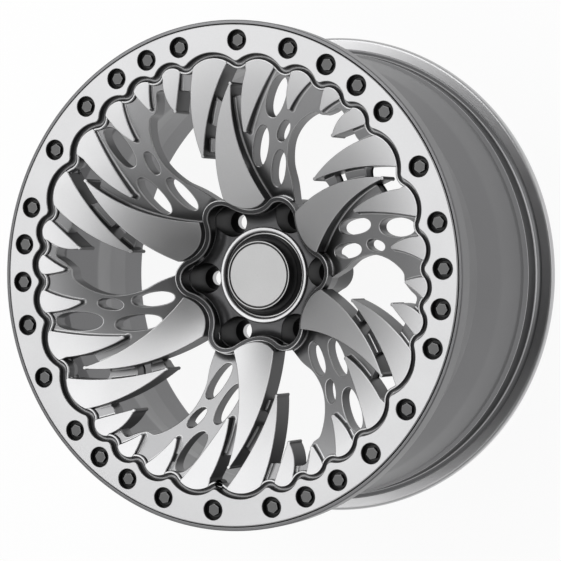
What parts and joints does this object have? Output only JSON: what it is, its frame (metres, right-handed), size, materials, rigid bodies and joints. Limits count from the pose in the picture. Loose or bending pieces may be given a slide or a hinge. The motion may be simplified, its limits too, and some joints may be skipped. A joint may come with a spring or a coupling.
{
  "type": "forged wheel",
  "caption": "Dished one-piece forged car wheel with claw-shaped spokes, open windows, a bolted outer ring and a plain centre cap.",
  "frame": {"origin": "centre of the hub's mounting face, where the wheel meets the hub flange", "axes": "+Z along the wheel's axis towards its front face, +X through a stud hole; the wheel lies on its rear flange"},
  "size_m": [0.5425, 0.5426, 0.278],
  "materials": {
    "forging": "satin gunmetal over machined aluminium",
    "ring": "satin gunmetal over machined aluminium",
    "bolts": "black coated steel",
    "cap": "satin black",
    "disc": "fine satin"
  },
  "bodies": {
    "root": {"forged_wheel": "forging", "clamp_ring": "ring", "ring_bolts": "bolts", "centre_cap": "cap", "cap_disc": "disc"}
  },
  "joints": []
}
